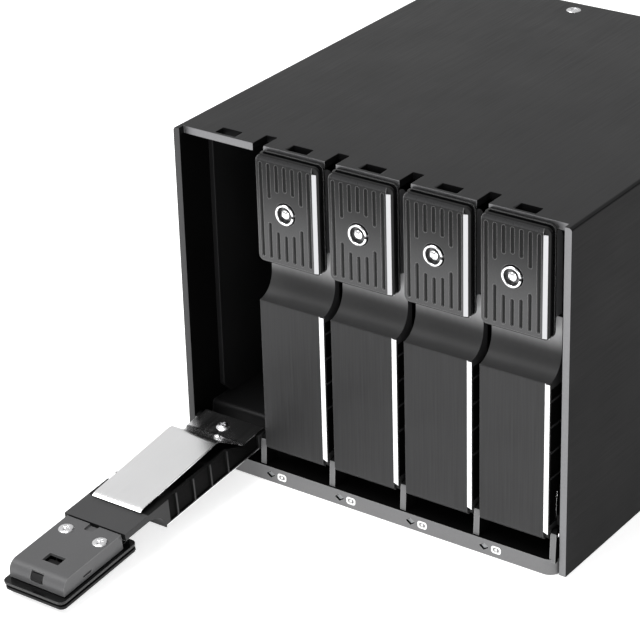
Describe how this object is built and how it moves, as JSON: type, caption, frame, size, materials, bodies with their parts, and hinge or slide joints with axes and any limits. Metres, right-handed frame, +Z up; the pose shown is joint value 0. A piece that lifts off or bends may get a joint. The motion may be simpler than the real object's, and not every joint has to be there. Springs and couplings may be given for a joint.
{
  "type": "nas enclosure",
  "caption": "Black drive cage with hinged bay doors, key locks and press latches on the front, and a backplane and cooling fan at the rear.",
  "frame": {"origin": "centre of the sleeve's footprint, on its bottom face", "axes": "-Y is the front with the doors, +X runs along the row of bays, +Z is up"},
  "size_m": [0.146, 0.2934, 0.118],
  "materials": {
    "brushed_black": "brushed and anodised black",
    "black_steel": "satin black paint",
    "black_plastic": "fine matte texture",
    "gloss_black_plastic": "semi-gloss moulding",
    "grey_plastic": "satin grey",
    "bright_steel": "satin spring steel",
    "chrome": "polished",
    "clear_plastic": "frosted clear",
    "board_green": "solder mask"
  },
  "bodies": {
    "cage": {"sleeve": "brushed_black", "bottom_plate": "black_steel", "drive_floor": "black_steel", "front_sill": "grey_plastic", "light_pipe": "clear_plastic", "hinge_rod": "bright_steel", "bay_divider_1": "black_steel", "bay_divider_2": "black_steel", "bay_divider_3": "black_steel", "bay_divider_4": "black_steel", "side_guide_left": "black_steel", "side_guide_right": "black_steel", "backplane_board": "board_green", "drive_socket_1": "black_plastic", "drive_socket_2": "black_plastic", "drive_socket_3": "black_plastic", "drive_socket_4": "black_plastic", "drive_socket_5": "black_plastic", "data_port_1": "black_plastic", "data_port_2": "black_plastic", "data_port_3": "black_plastic", "data_port_4": "black_plastic", "data_port_5": "black_plastic", "power_socket_1": "black_plastic", "power_socket_2": "black_plastic", "rear_panel": "black_steel", "fan_frame": "black_plastic", "fan_guard": "bright_steel"},
    "door_unit_1": {"door_1": "gloss_black_plastic", "door_spring_1": "bright_steel", "latch_cover_1": "black_plastic"},
    "latch_unit_1": {"latch_plate_1": "brushed_black"},
    "lock_unit_1": {"lock_cylinder_1": "chrome"},
    "bolt_unit_1": {"lock_bolt_1": "black_steel"},
    "door_unit_2": {"door_2": "gloss_black_plastic", "door_spring_2": "bright_steel", "latch_cover_2": "black_plastic"},
    "latch_unit_2": {"latch_plate_2": "brushed_black"},
    "lock_unit_2": {"lock_cylinder_2": "chrome"},
    "bolt_unit_2": {"lock_bolt_2": "black_steel"},
    "door_unit_3": {"door_3": "gloss_black_plastic", "door_spring_3": "bright_steel", "latch_cover_3": "black_plastic"},
    "latch_unit_3": {"latch_plate_3": "brushed_black"},
    "lock_unit_3": {"lock_cylinder_3": "chrome"},
    "bolt_unit_3": {"lock_bolt_3": "black_steel"},
    "door_unit_4": {"door_4": "gloss_black_plastic", "door_spring_4": "bright_steel", "latch_cover_4": "black_plastic"},
    "latch_unit_4": {"latch_plate_4": "brushed_black"},
    "lock_unit_4": {"lock_cylinder_4": "chrome"},
    "bolt_unit_4": {"lock_bolt_4": "black_steel"},
    "door_unit_5": {"door_5": "gloss_black_plastic", "door_spring_5": "bright_steel", "latch_cover_5": "black_plastic"},
    "latch_unit_5": {"latch_plate_5": "brushed_black"},
    "lock_unit_5": {"lock_cylinder_5": "chrome"},
    "bolt_unit_5": {"lock_bolt_5": "black_steel"},
    "rotor": {"fan_rotor": "black_plastic"}
  },
  "joints": [
    {"name": "door_hinge_1", "type": "hinge", "parent": "cage", "child": "door_unit_1", "pos_m": [-0.055, -0.081, 0.0135], "axis": [1, 0, 0], "range_deg": [-95, 0]},
    {"name": "latch_press_1", "type": "slide", "parent": "door_unit_1", "child": "latch_unit_1", "axis": [0, -0.0872, 0.9962], "range_m": [0, 0.0008], "stiffness_N_per_m": 300},
    {"name": "lock_turn_1", "type": "hinge", "parent": "door_unit_1", "child": "lock_unit_1", "pos_m": [-0.0559, -0.16578, 0.00608], "axis": [0, -0.0872, 0.9962], "range_deg": [0, 90]},
    {"name": "bolt_slide_1", "type": "slide", "parent": "door_unit_1", "child": "bolt_unit_1", "axis": [0, -0.9962, -0.0872], "range_m": [0, 0.003]},
    {"name": "door_hinge_2", "type": "hinge", "parent": "cage", "child": "door_unit_2", "pos_m": [-0.0275, -0.081, 0.0135], "axis": [1, 0, 0], "range_deg": [0, 95]},
    {"name": "latch_press_2", "type": "slide", "parent": "door_unit_2", "child": "latch_unit_2", "axis": [0, 1, 0], "range_m": [0, 0.0008], "stiffness_N_per_m": 300},
    {"name": "lock_turn_2", "type": "hinge", "parent": "door_unit_2", "child": "lock_unit_2", "pos_m": [-0.0284, -0.081, 0.0986], "axis": [0, 1, 0], "range_deg": [0, 90]},
    {"name": "bolt_slide_2", "type": "slide", "parent": "door_unit_2", "child": "bolt_unit_2", "axis": [0, 0, 1], "range_m": [0, 0.003]},
    {"name": "door_hinge_3", "type": "hinge", "parent": "cage", "child": "door_unit_3", "pos_m": [0, -0.081, 0.0135], "axis": [1, 0, 0], "range_deg": [0, 95]},
    {"name": "latch_press_3", "type": "slide", "parent": "door_unit_3", "child": "latch_unit_3", "axis": [0, 1, 0], "range_m": [0, 0.0008], "stiffness_N_per_m": 300},
    {"name": "lock_turn_3", "type": "hinge", "parent": "door_unit_3", "child": "lock_unit_3", "pos_m": [-0.0009, -0.081, 0.0986], "axis": [0, 1, 0], "range_deg": [0, 90]},
    {"name": "bolt_slide_3", "type": "slide", "parent": "door_unit_3", "child": "bolt_unit_3", "axis": [0, 0, 1], "range_m": [0, 0.003]},
    {"name": "door_hinge_4", "type": "hinge", "parent": "cage", "child": "door_unit_4", "pos_m": [0.0275, -0.081, 0.0135], "axis": [1, 0, 0], "range_deg": [0, 95]},
    {"name": "latch_press_4", "type": "slide", "parent": "door_unit_4", "child": "latch_unit_4", "axis": [0, 1, 0], "range_m": [0, 0.0008], "stiffness_N_per_m": 300},
    {"name": "lock_turn_4", "type": "hinge", "parent": "door_unit_4", "child": "lock_unit_4", "pos_m": [0.0266, -0.081, 0.0986], "axis": [0, 1, 0], "range_deg": [0, 90]},
    {"name": "bolt_slide_4", "type": "slide", "parent": "door_unit_4", "child": "bolt_unit_4", "axis": [0, 0, 1], "range_m": [0, 0.003]},
    {"name": "door_hinge_5", "type": "hinge", "parent": "cage", "child": "door_unit_5", "pos_m": [0.055, -0.081, 0.0135], "axis": [1, 0, 0], "range_deg": [0, 95]},
    {"name": "latch_press_5", "type": "slide", "parent": "door_unit_5", "child": "latch_unit_5", "axis": [0, 1, 0], "range_m": [0, 0.0008], "stiffness_N_per_m": 300},
    {"name": "lock_turn_5", "type": "hinge", "parent": "door_unit_5", "child": "lock_unit_5", "pos_m": [0.0541, -0.081, 0.0986], "axis": [0, 1, 0], "range_deg": [0, 90]},
    {"name": "bolt_slide_5", "type": "slide", "parent": "door_unit_5", "child": "bolt_unit_5", "axis": [0, 0, 1], "range_m": [0, 0.003]},
    {"name": "fan_spin", "type": "hinge", "parent": "cage", "child": "rotor", "pos_m": [0, 0.09425, 0.06], "axis": [0, 1, 0], "continuous": true}
  ],
  "couplings": [
    {"joint": "lock_turn_1", "follows": "bolt_slide_1", "rad_per_m": 523.5},
    {"joint": "lock_turn_2", "follows": "bolt_slide_2", "rad_per_m": 523.5},
    {"joint": "lock_turn_3", "follows": "bolt_slide_3", "rad_per_m": 523.5},
    {"joint": "lock_turn_4", "follows": "bolt_slide_4", "rad_per_m": 523.5},
    {"joint": "lock_turn_5", "follows": "bolt_slide_5", "rad_per_m": 523.5}
  ]
}
